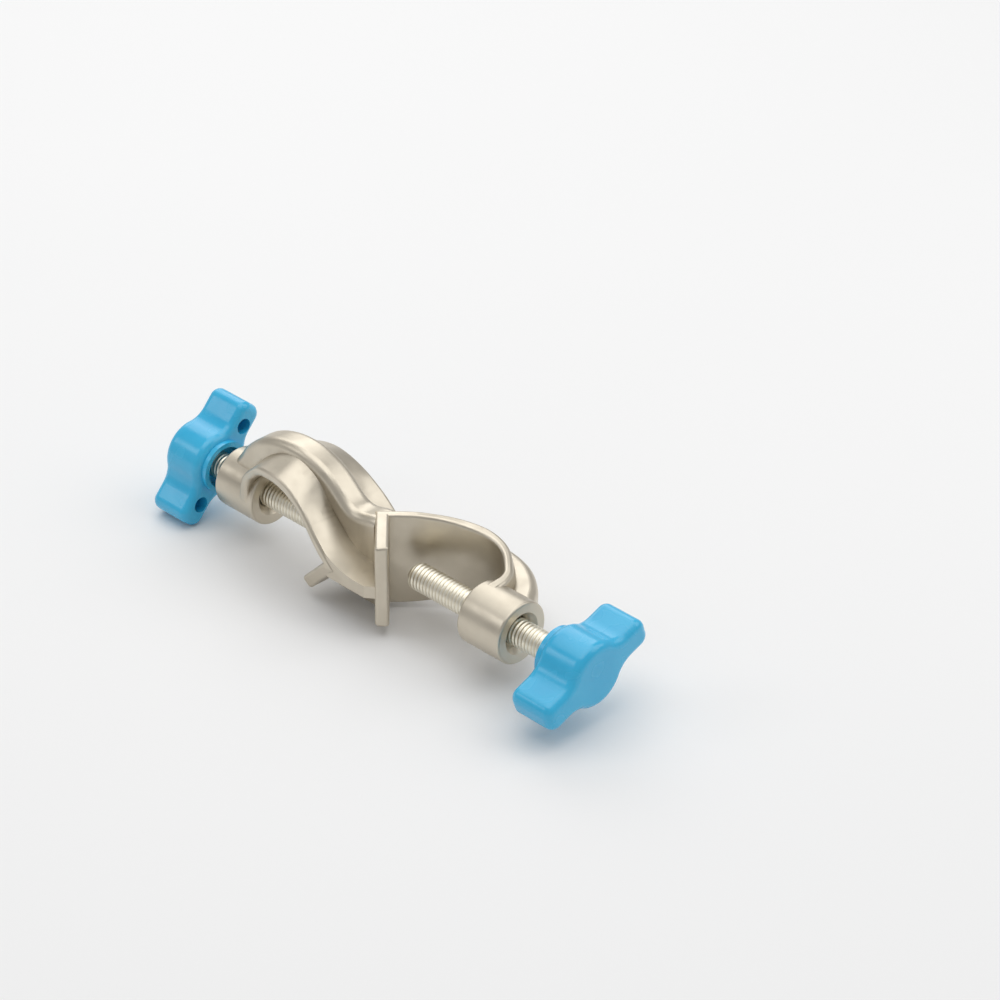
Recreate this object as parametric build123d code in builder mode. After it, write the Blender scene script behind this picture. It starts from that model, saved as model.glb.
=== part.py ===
from build123d import *
from math import cos, radians, sin
import os

# A double boss head clamp. One casting carries two hooked jaws at right angles, and each jaw has its
# own thumbscrew. Both screws share the X axis. The right jaw holds an upright rod along Z, and the left
# jaw holds a cross rod along Y. The origin is on the screw axis, in the inner corner of the right jaw's V.
# Sizes along X are counted from the middle of the casting, which is JAW_APEX to the left of the origin.

# casting
LIP_WALL = 4.0            # thickness of the free leg of the V
WALL = 2.7                # thickness of the strap from the V to the boss
JAW_APEX = 6.0            # from the middle to the inner corner of each V
LIP_LENGTH = 14.4         # free leg of the V, along its inner face
BOSS_RADIUS = 9.3
BOSS_INNER, BOSS_OUTER = 41.3, 56.9
BOSS_ROUND = 0.7
COUNTERSINK = 2.2
RIB_THICKNESS = 9.2
WEB_THICKNESS = 3.8       # flat gusset that ties a lip to the opposite jaw
EDGE_ROUND = 1.0

# M8 thumbscrews
SCREW_RADIUS = 4.0
SCREW_CLEARANCE = 0.05    # radial running fit of the screw in the boss and in the knob
SCREW_LENGTH = 68.0
SCREW_CHAMFER = 1.5
SCREW_SEAT = 13.0         # length of the screw inside its knob

# wing knobs
KNOB_THICKNESS = 14.6
KNOB_SPAN = 39.8
HUB_RADIUS = 9.9
WING_WIDTH = 8.8
WING_TIP_ROUND, WING_ROOT_ROUND = 3.2, 7.0
KNOB_ROUND = 2.4
COLLAR_RADIUS, COLLAR_HEIGHT = 8.0, 1.6
CUP_RADIUS, CUP_DEPTH = 6.5, 3.0
HOLE_RADIUS, HOLE_DEPTH, HOLE_REACH = 2.4, 7.0, 13.0
RIGHT_KNOB_FACE = 70.8    # from the middle to the face of the knob that looks at the boss
LEFT_KNOB_FACE = 63.9
RIGHT_WING_ANGLE = 19.0   # of the wings above the Y axis
LEFT_WING_ANGLE = 48.0

os.makedirs("parts", exist_ok=True)

middle = (-JAW_APEX, 0, 0)
plan = Plane(origin=middle, x_dir=(1, 0, 0), z_dir=(0, 0, 1))
front = Plane(origin=middle, x_dir=(1, 0, 0), z_dir=(0, -1, 0))
across = Plane(origin=middle, x_dir=(0, 1, 0), z_dir=(1, 0, 0))

slope = cos(radians(45))
lip_drop = LIP_LENGTH * slope
lip_step = LIP_WALL * slope
lip_back = JAW_APEX - 2 * lip_step        # where the lip's outer face would cross the screw axis
strap_back = JAW_APEX - 2 * WALL * slope  # where the strap's outer face would


# One hooked jaw with its boss, rib and gusset, opening towards -Y and extruded along Z

strap_inner = [(21.0, 12.6), (28.6, 14.6), (36.5, 13.0), (40.6, 9.6)]
strap_width = [(13.0, 14.0), (19.0, 13.0), (26.0, 12.2), (34.0, 11.4), (41.5, 9.8)]
# the back of the strap rises from its thin free edges to the rib, like a low gable
FREE_EDGE = 15.0
strap_ridge = [(14.6, 14.0), (19.4, 18.9), (26.3, 21.2), (33.0, 19.9), (38.4, 16.6), (43.2, 11.6)]
strap_rim = [(15.4, 12.2), (20.6, 14.5), (26.9, 15.9), (32.4, 15.7), (37.4, 14.2), (41.9, 10.8)]

lip_inner = (JAW_APEX + lip_drop, -lip_drop)
lip_outer = (lip_inner[0] - lip_step, lip_inner[1] - lip_step)
back_corner = ((lip_back + strap_back) / 2, (lip_back - strap_back) / 2)
inner_bend, outer_bend = (JAW_APEX + 8.0, 8.0), (strap_back + 9.4, 9.4)
inner_end, outer_end = (BOSS_INNER + 1.6, 5.0), (BOSS_INNER + 4.9, 5.0)


def strap_section(level, back):
    """The V and the strap cut across at one height. back is the run of the strap's outer side."""
    with BuildSketch(plan.offset(level)) as section:
        with BuildLine():
            Polyline(inner_bend, (JAW_APEX, 0), lip_inner, lip_outer, back_corner, outer_bend)
            Spline(inner_bend, *strap_inner, inner_end, tangents=[(1, 1), (0.15, -1)])
            Spline(outer_bend, *back, outer_end, tangents=[(1, 1), (0.25, -1)])
            # its end goes down beside the bore, so it squares off the back half of the boss
            Polyline(inner_end, (inner_end[0], 0), (outer_end[0] + 0.6, 0), outer_end)
        make_face()
    return section.sketch


with BuildPart() as strap:
    add(strap_section(-RIB_THICKNESS / 2 + 0.4, strap_ridge))
    extrude(amount=RIB_THICKNESS - 0.8)
    for side in (-1, 1):
        root = side * (RIB_THICKNESS / 2 - 0.4)
        loft([strap_section(root, strap_ridge), strap_section(side * FREE_EDGE, strap_rim)], ruled=True)
    # the strap is widest at the V and narrows towards the boss
    with BuildSketch(front):
        with BuildLine():
            Polyline((-5, -14.7), (7, -14.7))
            Spline((7, -14.7), *[(x, -z) for x, z in strap_width], (50, -9.2), tangents=[(1, 0), (1, 0)])
            Line((50, -9.2), (50, 9.2))
            Spline((50, 9.2), *reversed(strap_width), (7, 14.7), tangents=[(-1, 0), (-1, 0)])
            Polyline((7, 14.7), (-5, 14.7), (-5, -14.7))
        make_face()
    extrude(amount=30, both=True, mode=Mode.INTERSECT)
    # and the lip narrows towards its tip
    with BuildSketch(across):
        Polygon((-14, -12.6), (-1, -14.7), (30, -14.7), (30, 14.7), (-1, 14.7), (-14, 12.6), align=None)
    extrude(amount=60, both=True, mode=Mode.INTERSECT)
    # every edge is rounded but the inner corner of the V and the end buried in the boss
    fillet(strap.edges().filter_by(lambda e: abs(e.center().Z) > 7 or e.center().Y < -9), EDGE_ROUND)
strap.part.label = "strap"

rib_crest = [(1.0, 13.2), (5.0, 13.0), (10.0, 16.2), (15.5, 20.4), (22.0, 22.9), (29.0, 23.6), (36.5, 22.5),
             (44.0, 19.0), (49.5, 14.2)]
rib_root = [(38.0, 13.6), (28.6, 15.8), (20.0, 13.4)]

with BuildPart() as rib:
    with BuildSketch(plan):
        with BuildLine():
            Spline((-4.5, 14.3), *rib_crest, (53.5, 8.8), tangents=[(1, 0), (1, -1.3)])
            Polyline((53.5, 8.8), (53.5, 7.0), (44.5, 7.0))
            Spline((44.5, 7.0), *rib_root, (12.0, 8.0), tangents=[(-1, 1.8), (-1, -1)])
            Polyline((12.0, 8.0), (4.0, 0), (-4.5, 0), (-4.5, 14.3))
        make_face()
    extrude(amount=RIB_THICKNESS / 2, both=True)
    rim = rib.edges().filter_by(lambda e: e.center().Y > 13.5 and abs(e.center().Z) > 1 and e.length > 30)
    fillet(rim, 2.6)
rib.part.label = "rib"

with BuildPart() as boss:
    with BuildSketch(across.offset(BOSS_INNER)):
        Circle(BOSS_RADIUS)
    extrude(amount=BOSS_OUTER - BOSS_INNER)
    fillet(boss.edges().filter_by(GeomType.CIRCLE), BOSS_ROUND)
boss.part.label = "boss"

# Gusset under the lip, level with the screw axis on one side. The back of the opposite jaw sweeps down
# onto it in a hollow curve.
gusset_outline = [(-4.5, 0), (-4.5, -14.4), (10.6, -14.4), (13.2, -12.4), (3.0, 0)]

with BuildPart() as gusset:
    with BuildSketch(plan):
        Polygon(*gusset_outline, align=None)
    extrude(amount=-WEB_THICKNESS)
gusset.part.label = "gusset"

with BuildPart() as sweep_down:
    with BuildSketch(plan):
        Polygon((-12, 0), (-12, -13.4), *gusset_outline[1:], align=None)
    extrude(amount=9.5)
    with BuildSketch(front):
        with BuildLine():
            top, foot = (-strap_back - 8.6, 8.6), (-strap_back - WALL * slope, 0)
            Spline(top, (-4.2, 3.1), (7.5, 0), tangents=[(1, -1), (1, 0)])
            Polyline((7.5, 0), (7.5, -1), (foot[0], -1), foot, (foot[0] + top[0] + strap_back, top[1]), top)
        make_face()
    extrude(amount=30, mode=Mode.INTERSECT)
sweep_down.part.label = "sweep_down"

with BuildPart() as half_body:
    for piece in (strap, rib, boss, gusset, sweep_down):
        add(piece.part)
half_body.part.label = "half_body"

with BuildPart() as clamp_body:
    add(half_body.part)
    add(half_body.part.rotate(Axis(middle, (0, 1, 1)), 180))
    # threaded bores, at their running size
    for side in (-1, 1):
        mouth = across.offset(side * BOSS_INNER)
        with BuildSketch(mouth.offset(-side)):
            Circle(SCREW_RADIUS + SCREW_CLEARANCE)
        extrude(amount=side * (BOSS_OUTER - BOSS_INNER + 2), mode=Mode.SUBTRACT)
    rims = clamp_body.edges().filter_by(GeomType.CIRCLE)
    rims = rims.filter_by(lambda e: abs(e.radius - SCREW_RADIUS - SCREW_CLEARANCE) < 0.01)
    chamfer(rims, COUNTERSINK)
clamp_body.part.label = "clamp_body"
export_step(clamp_body.part, "parts/clamp_body.step")


# Thumbscrews. side is 1 for the right one and -1 for the left one.

def screw(side, knob_face):
    """A plain M8 shank, chamfered at both ends."""
    with BuildPart() as shank:
        with BuildSketch(across.offset(side * (knob_face + SCREW_SEAT))):
            Circle(SCREW_RADIUS)
        extrude(amount=-side * SCREW_LENGTH)
        chamfer(shank.edges().filter_by(GeomType.CIRCLE), SCREW_CHAMFER)
    return shank.part


def knob(side, knob_face, wing_angle):
    """A two-winged knob. Its boss side has a collar, a cup around the screw and two core holes."""
    along_wing = (0, cos(radians(wing_angle)), sin(radians(wing_angle)))
    face = Plane(origin=(middle[0] + side * knob_face, 0, 0), x_dir=along_wing, z_dir=(side, 0, 0))
    with BuildPart() as wings:
        with BuildSketch(face) as outline:
            Circle(HUB_RADIUS)
            Rectangle(KNOB_SPAN, WING_WIDTH)
            fillet(outline.vertices().filter_by(lambda v: abs(v.X) > KNOB_SPAN / 2 - 1), WING_TIP_ROUND)
            fillet(outline.vertices().filter_by(lambda v: abs(v.X) < KNOB_SPAN / 2 - 5), WING_ROOT_ROUND)
        extrude(amount=KNOB_THICKNESS)
        fillet(wings.faces().filter_by(Axis.X).edges(), KNOB_ROUND)
        with BuildSketch(face):
            Circle(COLLAR_RADIUS)
        extrude(amount=-COLLAR_HEIGHT)
        with BuildSketch(face.offset(-COLLAR_HEIGHT)):
            Circle(CUP_RADIUS)
        extrude(amount=COLLAR_HEIGHT + CUP_DEPTH, mode=Mode.SUBTRACT)
        with BuildSketch(face):
            Circle(SCREW_RADIUS + SCREW_CLEARANCE)
        extrude(amount=SCREW_SEAT + 2 * SCREW_CLEARANCE, mode=Mode.SUBTRACT)
        with BuildSketch(face):
            with Locations((-HOLE_REACH, 0), (HOLE_REACH, 0)):
                Circle(HOLE_RADIUS)
        extrude(amount=HOLE_DEPTH, mode=Mode.SUBTRACT)
    return wings.part


with BuildPart() as right_screw:
    add(screw(1, RIGHT_KNOB_FACE))
right_screw.part.label = "right_screw"
export_step(right_screw.part, "parts/right_screw.step")

with BuildPart() as left_screw:
    add(screw(-1, LEFT_KNOB_FACE))
left_screw.part.label = "left_screw"
export_step(left_screw.part, "parts/left_screw.step")

with BuildPart() as right_knob:
    add(knob(1, RIGHT_KNOB_FACE, RIGHT_WING_ANGLE))
right_knob.part.label = "right_knob"
export_step(right_knob.part, "parts/right_knob.step")

with BuildPart() as left_knob:
    add(knob(-1, LEFT_KNOB_FACE, LEFT_WING_ANGLE))
left_knob.part.label = "left_knob"
export_step(left_knob.part, "parts/left_knob.step")
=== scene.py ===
import math

import bpy
from bpy.props import FloatProperty, FloatVectorProperty, IntProperty, PointerProperty
from mathutils import Matrix, Vector


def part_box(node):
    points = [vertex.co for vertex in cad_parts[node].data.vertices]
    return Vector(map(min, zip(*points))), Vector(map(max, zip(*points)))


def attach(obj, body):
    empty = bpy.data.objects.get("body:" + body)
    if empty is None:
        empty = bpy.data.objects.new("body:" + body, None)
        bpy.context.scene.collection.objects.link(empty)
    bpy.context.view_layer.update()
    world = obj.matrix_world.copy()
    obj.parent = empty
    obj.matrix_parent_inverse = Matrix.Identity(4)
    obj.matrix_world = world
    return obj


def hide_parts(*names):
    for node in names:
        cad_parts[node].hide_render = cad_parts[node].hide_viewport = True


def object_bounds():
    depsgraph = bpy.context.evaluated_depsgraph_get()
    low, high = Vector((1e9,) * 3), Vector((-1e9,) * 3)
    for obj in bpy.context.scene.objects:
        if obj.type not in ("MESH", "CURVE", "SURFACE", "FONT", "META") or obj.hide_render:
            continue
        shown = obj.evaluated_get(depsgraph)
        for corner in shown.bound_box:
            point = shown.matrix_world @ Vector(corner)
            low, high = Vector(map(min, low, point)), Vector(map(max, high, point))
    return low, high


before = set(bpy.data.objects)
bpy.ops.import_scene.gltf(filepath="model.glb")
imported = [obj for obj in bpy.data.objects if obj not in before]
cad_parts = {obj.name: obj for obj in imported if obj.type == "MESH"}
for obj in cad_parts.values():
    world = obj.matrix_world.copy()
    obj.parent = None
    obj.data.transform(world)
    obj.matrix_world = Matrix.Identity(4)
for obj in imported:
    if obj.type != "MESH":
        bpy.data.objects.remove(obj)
CAD_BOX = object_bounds()

bl_info = {
    "name": "Boss Head Clamp",
    "version": (1, 0, 0),
    "blender": (4, 5, 0),
    "location": "View3D > Sidebar > Boss Head",
    "description": "Finishes a double boss head: satin casting, threaded screws and moulded wing knobs",
    "category": "Object",
}

SIDES = ("right", "left")
SCREW_RADIUS = 0.004
SCREW_LENGTH = 0.068
# half a crest and one flank of the thread, as shares of its pitch
THREAD_CREST, THREAD_FLANK = 0.07, 0.34
FLOOR_HALF = 3.0
SENSOR_WIDTH = 36.0    # mm


# ---------------------------------------------------------------- sizes and colours

class CastingLook(bpy.types.PropertyGroup):
    """Finish of the nickel-coloured casting."""
    light: FloatVectorProperty(
        name="Light metal", description="Clean satin metal", subtype="COLOR", size=3, min=0, max=1,
        default=(0.65, 0.592, 0.49))
    dark: FloatVectorProperty(
        name="Dull metal", description="Handled or duller metal", subtype="COLOR", size=3, min=0, max=1,
        default=(0.56, 0.508, 0.415))
    # painted shade: this dark colour is mixed into the inside corners to stand in for the shade that falls
    # there
    painted_shading: FloatVectorProperty(
        name="Corner grime", description="Darker painted_shade left in inside corners", subtype="COLOR", size=3,
        min=0, max=1, default=(0.20, 0.17, 0.13))
    roughness: FloatProperty(
        name="Roughness", description="Middle of the satin sheen", default=0.36, min=0.05, max=1,
        subtype="FACTOR")
    grain: FloatProperty(
        name="Cast grain", description="Size of the grain left by the mould", default=0.0022, min=0.0001,
        max=0.01, unit="LENGTH")


class ScrewLook(bpy.types.PropertyGroup):
    """Thread and plating of the two thumbscrews."""
    pitch: FloatProperty(
        name="Pitch", description="Distance from one thread crest to the next", default=0.00125,
        min=0.0005, max=0.005, unit="LENGTH")
    depth: FloatProperty(
        name="Thread depth", description="From crest to root", default=0.00028, min=0.0001, max=0.002,
        unit="LENGTH")
    tip: FloatProperty(
        name="Tip chamfer", description="Length of the bevel at each end", default=0.0015, min=0.0,
        max=0.004, unit="LENGTH")
    sides: IntProperty(name="Facets round", description="Facets in one turn", default=40, min=12, max=96)
    rings_per_turn: IntProperty(
        name="Rings a turn", description="Rings of facets in one pitch", default=8, min=4, max=24)
    plating: FloatVectorProperty(
        name="Plating", description="Warm zinc plate", subtype="COLOR", size=3, min=0, max=1,
        default=(0.93, 0.89, 0.78))
    # a darker metal colour, used down at the thread roots and in dull patches
    darker_metal: FloatVectorProperty(
        name="Thread root", description="Darker metal down in the thread", subtype="COLOR", size=3, min=0,
        max=1, default=(0.74, 0.69, 0.56))


class KnobLook(bpy.types.PropertyGroup):
    """Moulded plastic of the two wing knobs."""
    blue: FloatVectorProperty(
        name="Blue", description="Colour of the moulding", subtype="COLOR", size=3, min=0, max=1,
        default=(0.024, 0.42, 0.71))
    pale: FloatVectorProperty(
        name="Rubbed blue", description="Slightly paler patches where fingers rub", subtype="COLOR",
        size=3, min=0, max=1, default=(0.040, 0.47, 0.76))
    roughness: FloatProperty(
        name="Roughness", description="Gloss of the moulding", default=0.22, min=0.02, max=1,
        subtype="FACTOR")


class StageLook(bpy.types.PropertyGroup):
    """Camera, floor and lamps."""
    aim: FloatVectorProperty(
        name="Aim", description="Point at the middle of the picture", subtype="XYZ", size=3,
        default=(0.01366, 0.02974, 0.01260))
    distance: FloatProperty(
        name="Distance", description="From the aim to the camera", default=0.8926, min=0.1, max=10,
        unit="LENGTH")
    azimuth: FloatProperty(
        name="Azimuth", description="Camera's way round from -Y towards +X", default=math.radians(43.61),
        subtype="ANGLE")
    elevation: FloatProperty(
        name="Elevation", description="Camera's height above the horizon", default=math.radians(32.31),
        subtype="ANGLE")
    roll: FloatProperty(
        name="Roll", description="Camera's tilt about its own axis", default=math.radians(0.965),
        subtype="ANGLE")
    lens: FloatProperty(name="Lens", description="Focal length in mm", default=114.9, min=10, max=400)
    floor_grey: FloatVectorProperty(
        name="Floor", description="Colour of the floor", subtype="COLOR", size=3, min=0, max=1,
        default=(0.86, 0.86, 0.86))
    lamp_level: FloatProperty(
        name="Lamp level", description="Multiplies the power of every lamp", default=1.0, min=0, max=10)
    sky_level: FloatProperty(
        name="Sky level", description="Brightness of the surroundings", default=0.44, min=0, max=5)


# ---------------------------------------------------------------- node helpers

def link(tree, source, target):
    tree.links.new(source, target)


def put(tree, kind, **values):
    """A new node, with its properties or input sockets set by name."""
    node = tree.nodes.new(kind)
    for key, value in values.items():
        if hasattr(node, key):
            setattr(node, key, value)
        else:
            node.inputs[key.replace("_", " ")].default_value = value
    return node


def math_node(tree, operation, first, second=None, clamp=False):
    """A maths node. Each operand is a number or a socket."""
    node = tree.nodes.new("ShaderNodeMath")
    node.operation = operation
    node.use_clamp = clamp
    for socket, operand in zip(node.inputs, (first, second)):
        if operand is None:
            continue
        if isinstance(operand, (int, float)):
            socket.default_value = operand
        else:
            link(tree, operand, socket)
    return node.outputs[0]


def across(tree, first, second):
    """Distance from an axis, from the two coordinates square to it."""
    squares = [math_node(tree, "MULTIPLY", side, side) for side in (first, second)]
    return math_node(tree, "SQRT", math_node(tree, "ADD", *squares))


def mix_colour(tree, factor, low, high, blend="MIX"):
    """A colour mix. low and high are colours or sockets."""
    node = tree.nodes.new("ShaderNodeMix")
    node.data_type = "RGBA"
    node.blend_type = blend
    link(tree, factor, node.inputs[0])
    for socket, value in ((node.inputs[6], low), (node.inputs[7], high)):
        if hasattr(value, "links"):
            link(tree, value, socket)
        else:
            socket.default_value = (*value, 1)
    return node.outputs[2]


def noise(tree, coordinate, size, detail=3.0, roughness=0.5):
    """Noise whose features are about size metres across."""
    node = put(tree, "ShaderNodeTexNoise", Scale=1 / size, Detail=detail, Roughness=roughness)
    link(tree, coordinate, node.inputs["Vector"])
    return node.outputs["Fac"]


def spread(tree, value, low, high, out_low=0.0, out_high=1.0):
    """Stretches value from low..high to out_low..out_high, clamped."""
    node = tree.nodes.new("ShaderNodeMapRange")
    link(tree, value, node.inputs["Value"])
    for name, number in (("From Min", low), ("From Max", high), ("To Min", out_low), ("To Max", out_high)):
        node.inputs[name].default_value = number
    return node.outputs["Result"]


def bump(tree, height, strength, distance, under=None):
    node = put(tree, "ShaderNodeBump", Strength=strength, Distance=distance)
    link(tree, height, node.inputs["Height"])
    if under is not None:
        link(tree, under, node.inputs["Normal"])
    return node.outputs["Normal"]


def new_material(name):
    """(material, its node tree, the principled shader, object coordinates)"""
    material = bpy.data.materials.new(name)
    material.use_nodes = True
    tree = material.node_tree
    tree.nodes.clear()
    output = tree.nodes.new("ShaderNodeOutputMaterial")
    shader = tree.nodes.new("ShaderNodeBsdfPrincipled")
    link(tree, shader.outputs[0], output.inputs["Surface"])
    place = tree.nodes.new("ShaderNodeTexCoord").outputs["Object"]
    return material, tree, shader, place


def dress(obj, material):
    """Puts one material in every slot of an object."""
    if not obj.material_slots:
        obj.data.materials.append(material)
    for slot in obj.material_slots:
        slot.material = material


# ---------------------------------------------------------------- materials

def satin_casting(look):
    material, tree, shader, place = new_material("satin_casting")
    cloud = noise(tree, place, 0.022, 4.0, 0.6)
    smudge = noise(tree, place, 0.006, 3.0, 0.55)
    grain = noise(tree, place, look.grain, 2.0, 0.6)
    wave = noise(tree, place, 0.009, 1.0, 0.4)

    tone = mix_colour(tree, spread(tree, cloud, 0.35, 0.7), look.light, look.dark)
    # painted shade: concave corners (low pointiness) are darkened towards the painted shade colour, broken
    # into patches by the smudge noise
    hollow = tree.nodes.new("ShaderNodeNewGeometry").outputs["Pointiness"]
    patchy = spread(tree, smudge, 0.2, 0.7, 0.5, 1.0)
    painted_shade_mask = math_node(tree, "MULTIPLY", spread(tree, hollow, 0.49, 0.40, 0.0, 0.5), patchy)
    link(tree, mix_colour(tree, painted_shade_mask, tone, look.painted_shading), shader.inputs["Base Color"])

    shader.inputs["Metallic"].default_value = 0.95
    rough = spread(tree, smudge, 0.3, 0.75, look.roughness - 0.07, look.roughness + 0.1)
    link(tree, rough, shader.inputs["Roughness"])
    link(tree, bump(tree, grain, 0.10, 0.00012, bump(tree, wave, 0.10, 0.0008)), shader.inputs["Normal"])
    return material


def plated_screw(look):
    material, tree, shader, place = new_material("plated_screw")
    axes = tree.nodes.new("ShaderNodeSeparateXYZ")
    link(tree, place, axes.inputs[0])
    radius = across(tree, axes.outputs["Y"], axes.outputs["Z"])
    # the colour goes darker from the thread crests down to the roots
    crest = spread(tree, radius, SCREW_RADIUS - look.depth, SCREW_RADIUS)
    cloud = noise(tree, place, 0.004, 4.0, 0.6)
    fleck = noise(tree, place, 0.0007, 2.0, 0.5)
    metal = mix_colour(tree, crest, look.darker_metal, look.plating)
    duller = math_node(tree, "MULTIPLY", spread(tree, cloud, 0.45, 0.75), 0.45)
    link(tree, mix_colour(tree, duller, metal, look.darker_metal), shader.inputs["Base Color"])
    shader.inputs["Metallic"].default_value = 1.0
    link(tree, spread(tree, fleck, 0.3, 0.7, 0.30, 0.48), shader.inputs["Roughness"])
    link(tree, bump(tree, fleck, 0.15, 0.0001), shader.inputs["Normal"])
    return material


def moulded_blue(look):
    material, tree, shader, place = new_material("moulded_blue")
    cloud = noise(tree, place, 0.012, 3.0, 0.5)
    rub = noise(tree, place, 0.006, 1.0, 0.5)
    peel = noise(tree, place, 0.003, 0.0, 0.4)
    sink = noise(tree, place, 0.011, 1.0, 0.4)
    tone = mix_colour(tree, spread(tree, cloud, 0.35, 0.7), look.blue, look.pale)
    link(tree, tone, shader.inputs["Base Color"])
    rough = spread(tree, rub, 0.3, 0.75, look.roughness - 0.05, look.roughness + 0.1)
    link(tree, rough, shader.inputs["Roughness"])
    link(tree, bump(tree, peel, 0.05, 0.0003, bump(tree, sink, 0.12, 0.0008)), shader.inputs["Normal"])
    shader.inputs["IOR"].default_value = 1.5
    shader.inputs["Coat Weight"].default_value = 0.35
    shader.inputs["Coat Roughness"].default_value = 0.16
    return material


def pale_floor(look):
    material, tree, shader, place = new_material("pale_floor")
    cloud = noise(tree, place, 0.35, 2.0, 0.5)
    low = tuple(channel * 0.985 for channel in look.floor_grey)
    tone = mix_colour(tree, spread(tree, cloud, 0.3, 0.7), low, look.floor_grey)
    link(tree, tone, shader.inputs["Base Color"])
    shader.inputs["Roughness"].default_value = 0.9
    shader.inputs["Specular IOR Level"].default_value = 0.1
    return material


# ---------------------------------------------------------------- threaded screws

def thread_tree(look):
    """Geometry nodes that turn a cylinder along Z into a chamfered thread."""
    tree = bpy.data.node_groups.new("cut_thread", "GeometryNodeTree")
    face = tree.interface
    face.new_socket("Geometry", in_out="OUTPUT", socket_type="NodeSocketGeometry")
    sizes = (("Radius", SCREW_RADIUS), ("Length", SCREW_LENGTH), ("Pitch", look.pitch), ("Depth", look.depth),
             ("Chamfer", look.tip))
    for name, default in sizes:
        socket = face.new_socket(name, in_out="INPUT", socket_type="NodeSocketFloat")
        socket.default_value = default
    for name, default in (("Sides", look.sides), ("Rings", 400)):
        socket = face.new_socket(name, in_out="INPUT", socket_type="NodeSocketInt")
        socket.default_value = default
    face.new_socket("Material", in_out="INPUT", socket_type="NodeSocketMaterial")

    given = tree.nodes.new("NodeGroupInput").outputs
    result = tree.nodes.new("NodeGroupOutput").inputs
    blank = tree.nodes.new("GeometryNodeMeshCylinder")
    blank.fill_type = "TRIANGLE_FAN"
    fed = (("Vertices", "Sides"), ("Side Segments", "Rings"), ("Radius", "Radius"), ("Depth", "Length"))
    for name, source in fed:
        link(tree, given[source], blank.inputs[name])

    spot = tree.nodes.new("ShaderNodeSeparateXYZ")
    link(tree, tree.nodes.new("GeometryNodeInputPosition").outputs[0], spot.inputs[0])
    x, y, z = spot.outputs
    turn = math_node(tree, "DIVIDE", math_node(tree, "ARCTAN2", y, x), 2 * math.pi)
    along = math_node(tree, "SUBTRACT", math_node(tree, "DIVIDE", z, given["Pitch"]), turn)
    flank = math_node(tree, "PINGPONG", along, 0.5)
    past_crest = math_node(tree, "SUBTRACT", flank, THREAD_CREST)
    sunk = math_node(tree, "MULTIPLY", past_crest, 1 / THREAD_FLANK, clamp=True)
    thread = math_node(tree, "SUBTRACT", given["Radius"], math_node(tree, "MULTIPLY", sunk, given["Depth"]))

    # the bevel at each end cuts across the thread
    half_length = math_node(tree, "MULTIPLY", given["Length"], 0.5)
    to_end = math_node(tree, "SUBTRACT", half_length, math_node(tree, "ABSOLUTE", z))
    bevel = math_node(tree, "ADD", math_node(tree, "SUBTRACT", given["Radius"], given["Chamfer"]), to_end)
    wanted = math_node(tree, "MINIMUM", thread, bevel)
    here = across(tree, x, y)
    scale = math_node(tree, "DIVIDE", wanted, math_node(tree, "MAXIMUM", here, 1e-6))
    # the middle point of each end face stays where it is
    centre = math_node(tree, "LESS_THAN", here, 1e-5)
    scale = math_node(tree, "MAXIMUM", scale, centre)
    put_back = tree.nodes.new("ShaderNodeCombineXYZ")
    link(tree, math_node(tree, "MULTIPLY", x, scale), put_back.inputs["X"])
    link(tree, math_node(tree, "MULTIPLY", y, scale), put_back.inputs["Y"])
    link(tree, z, put_back.inputs["Z"])

    cut = tree.nodes.new("GeometryNodeSetPosition")
    link(tree, blank.outputs["Mesh"], cut.inputs["Geometry"])
    link(tree, put_back.outputs[0], cut.inputs["Position"])
    smooth = tree.nodes.new("GeometryNodeSetShadeSmooth")
    smooth.inputs["Shade Smooth"].default_value = True
    link(tree, cut.outputs["Geometry"], smooth.inputs["Geometry"])
    real = tree.nodes.new("GeometryNodeRealizeInstances")
    link(tree, smooth.outputs["Geometry"], real.inputs["Geometry"])
    finish = tree.nodes.new("GeometryNodeSetMaterial")
    link(tree, real.outputs["Geometry"], finish.inputs["Geometry"])
    link(tree, given["Material"], finish.inputs["Material"])
    link(tree, finish.outputs["Geometry"], result["Geometry"])
    return tree


def run_tree(name, tree, **values):
    """A plain mesh made by a node tree. values are its inputs, by name."""
    carrier = bpy.data.objects.new(name, bpy.data.meshes.new(name))
    bpy.context.scene.collection.objects.link(carrier)
    modifier = carrier.modifiers.new(name, "NODES")
    modifier.node_group = tree
    sockets = {item.name: item.identifier for item in tree.interface.items_tree if item.in_out == "INPUT"}
    for key, value in values.items():
        modifier[sockets[key]] = value
    made = carrier.evaluated_get(bpy.context.evaluated_depsgraph_get())
    mesh = bpy.data.meshes.new_from_object(made)
    carrier.modifiers.remove(modifier)
    carrier.data = mesh
    mesh.name = name
    return carrier


# ---------------------------------------------------------------- operators

class BOSSHEAD_OT_casting(bpy.types.Operator):
    """Gives the cast body its satin metal"""
    bl_idname = "bosshead.casting"
    bl_label = "Finish Casting"

    def execute(self, context):
        dress(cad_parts["clamp_body"], satin_casting(context.scene.bosshead_casting))
        return {"FINISHED"}


class BOSSHEAD_OT_screws(bpy.types.Operator):
    """Cuts both thumbscrews' threads in place of the plain shanks"""
    bl_idname = "bosshead.screws"
    bl_label = "Cut Screws"

    def execute(self, context):
        look = context.scene.bosshead_screw
        metal = plated_screw(look)
        tree = thread_tree(look)
        for side in SIDES:
            low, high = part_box(f"{side}_screw")
            length = high[0] - low[0]
            rings = round(length / look.pitch * look.rings_per_turn)
            screw = run_tree(
                f"{side}_threaded_screw", tree, Length=length, Rings=rings, Radius=SCREW_RADIUS,
                Pitch=look.pitch, Depth=look.depth, Chamfer=look.tip, Sides=look.sides, Material=metal)
            middle = Matrix.Translation(((low[0] + high[0]) / 2, 0, 0))
            screw.data.transform(middle @ Matrix.Rotation(math.radians(90), 4, "Y"))
            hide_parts(f"{side}_screw")
            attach(screw, f"{side}_thumbscrew")
        return {"FINISHED"}


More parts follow.
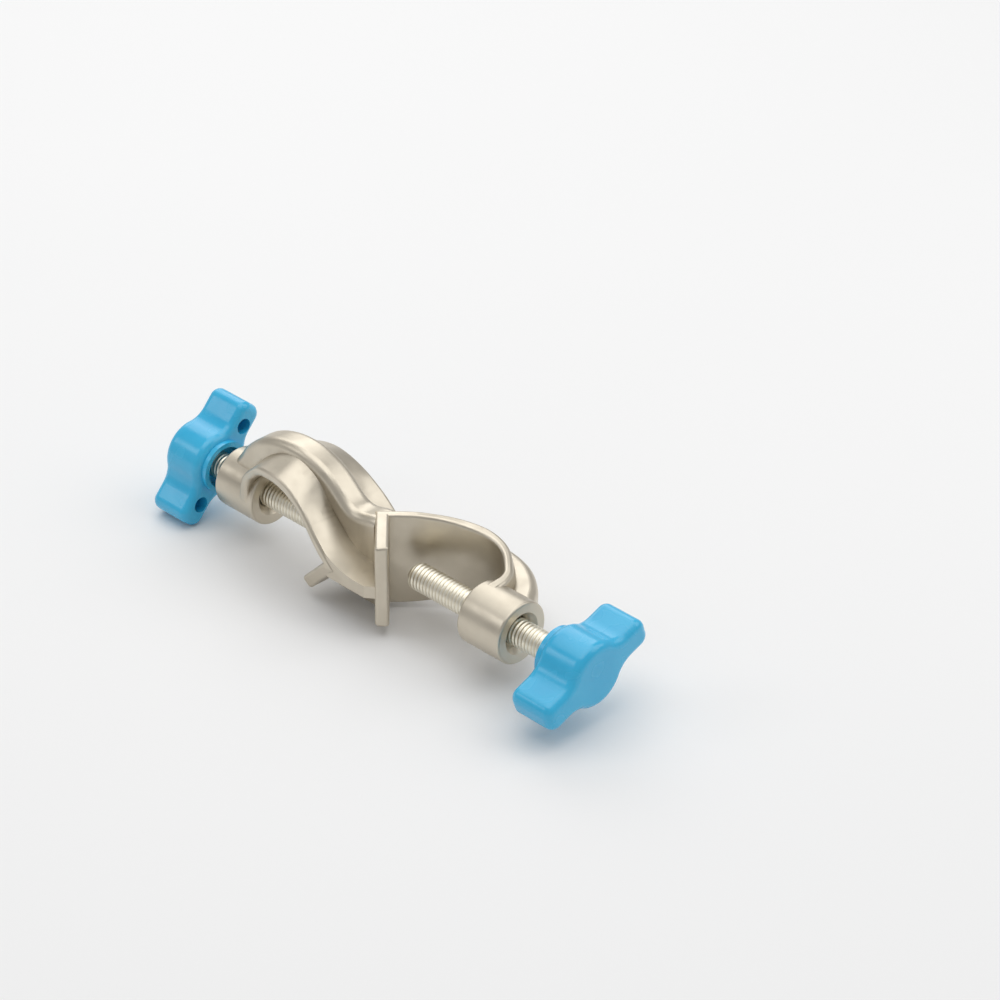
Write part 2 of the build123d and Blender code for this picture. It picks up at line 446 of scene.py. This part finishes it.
class BOSSHEAD_OT_knobs(bpy.types.Operator):
    """Gives both wing knobs their moulded blue plastic"""
    bl_idname = "bosshead.knobs"
    bl_label = "Finish Knobs"

    def execute(self, context):
        plastic = moulded_blue(context.scene.bosshead_knob)
        for side in SIDES:
            dress(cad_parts[f"{side}_knob"], plastic)
        return {"FINISHED"}


class BOSSHEAD_OT_stage(bpy.types.Operator):
    """Sets out the floor, the lamps, the surroundings and the camera"""
    bl_idname = "bosshead.stage"
    bl_label = "Set Stage"

    # name, place, width, depth and power of each soft lamp
    LAMPS = (
        ("lamp_back_left", (-0.85, 0.60, 0.70), 0.9, 0.7, 3.2),
        ("lamp_back_right", (0.55, 0.65, 0.80), 0.9, 0.7, 2.6),
        ("lamp_front_left", (-0.80, -0.80, 0.72), 0.40, 0.35, 0.9),
        ("lamp_above", (-0.10, 0.00, 1.10), 1.2, 1.2, 6.4),
    )

    def execute(self, context):
        look = context.scene.bosshead_stage
        self.floor(look)
        for lamp in self.LAMPS:
            self.lamp(context, look, *lamp)
        self.surroundings(context, look)
        self.camera(context, look)
        context.scene.view_settings.view_transform = "Standard"
        return {"FINISHED"}

    def floor(self, look):
        level = CAD_BOX[0][2]
        signs = ((-1, -1), (1, -1), (1, 1), (-1, 1))
        corners = [(x * FLOOR_HALF, y * FLOOR_HALF, level) for x, y in signs]
        mesh = bpy.data.meshes.new("floor")
        mesh.from_pydata(corners, [], [(0, 1, 2, 3)])
        ground = bpy.data.objects.new("floor", mesh)
        bpy.context.scene.collection.objects.link(ground)
        dress(ground, pale_floor(look))

    def lamp(self, context, look, name, place, width, depth, power):
        data = bpy.data.lights.new(name, "AREA")
        data.shape, data.size, data.size_y = "RECTANGLE", width, depth
        data.energy = power * look.lamp_level
        lamp = bpy.data.objects.new(name, data)
        lamp.location = place
        lamp.rotation_euler = (-Vector(place)).to_track_quat("-Z", "Y").to_euler()
        context.scene.collection.objects.link(lamp)

    def surroundings(self, context, look):
        world = bpy.data.worlds.new("surroundings")
        world.use_nodes = True
        tree = world.node_tree
        tree.nodes.clear()
        sky = tree.nodes.new("ShaderNodeBackground")
        sky.inputs["Color"].default_value = (1, 1, 1, 1)
        sky.inputs["Strength"].default_value = look.sky_level
        output = tree.nodes.new("ShaderNodeOutputWorld")
        link(tree, sky.outputs[0], output.inputs["Surface"])
        context.scene.world = world

    def camera(self, context, look):
        az, el, roll = look.azimuth, look.elevation, look.roll
        back = Vector((math.sin(az) * math.cos(el), -math.cos(az) * math.cos(el), math.sin(el)))
        level = Vector((math.cos(az), math.sin(az), 0))
        upright = back.cross(level)
        right = level * math.cos(roll) + upright * math.sin(roll)
        up = upright * math.cos(roll) - level * math.sin(roll)
        data = bpy.data.cameras.new("camera")
        data.lens, data.sensor_width = look.lens, SENSOR_WIDTH
        data.clip_start, data.clip_end = 0.05, 20.0
        camera = bpy.data.objects.new("camera", data)
        turn = Matrix((right, up, back)).transposed().to_4x4()
        camera.matrix_world = Matrix.Translation(Vector(look.aim) + back * look.distance) @ turn
        context.scene.collection.objects.link(camera)
        context.scene.camera = camera


class BOSSHEAD_PT_panel(bpy.types.Panel):
    """Sizes, colours and the steps that use them"""
    bl_idname = "BOSSHEAD_PT_panel"
    bl_label = "Boss Head Clamp"
    bl_space_type = "VIEW_3D"
    bl_region_type = "UI"
    bl_category = "Boss Head"

    def draw(self, context):
        steps = (
            ("bosshead.casting", "bosshead_casting"), ("bosshead.screws", "bosshead_screw"),
            ("bosshead.knobs", "bosshead_knob"), ("bosshead.stage", "bosshead_stage"))
        for operator, group in steps:
            box = self.layout.box()
            settings = getattr(context.scene, group)
            for name in settings.__annotations__:
                box.prop(settings, name)
            box.operator(operator)


GROUPS = (
    ("bosshead_casting", CastingLook), ("bosshead_screw", ScrewLook), ("bosshead_knob", KnobLook),
    ("bosshead_stage", StageLook))
CLASSES = (
    *(group for _, group in GROUPS), BOSSHEAD_OT_casting, BOSSHEAD_OT_screws, BOSSHEAD_OT_knobs,
    BOSSHEAD_OT_stage, BOSSHEAD_PT_panel)


def register():
    for cls in CLASSES:
        bpy.utils.register_class(cls)
    for name, group in GROUPS:
        setattr(bpy.types.Scene, name, PointerProperty(type=group))


def unregister():
    for name, _ in GROUPS:
        delattr(bpy.types.Scene, name)
    for cls in reversed(CLASSES):
        bpy.utils.unregister_class(cls)


def main():
    register()
    bpy.ops.bosshead.stage()
    bpy.ops.bosshead.casting()
    bpy.ops.bosshead.screws()
    bpy.ops.bosshead.knobs()


if __name__ == "__main__":
    main()
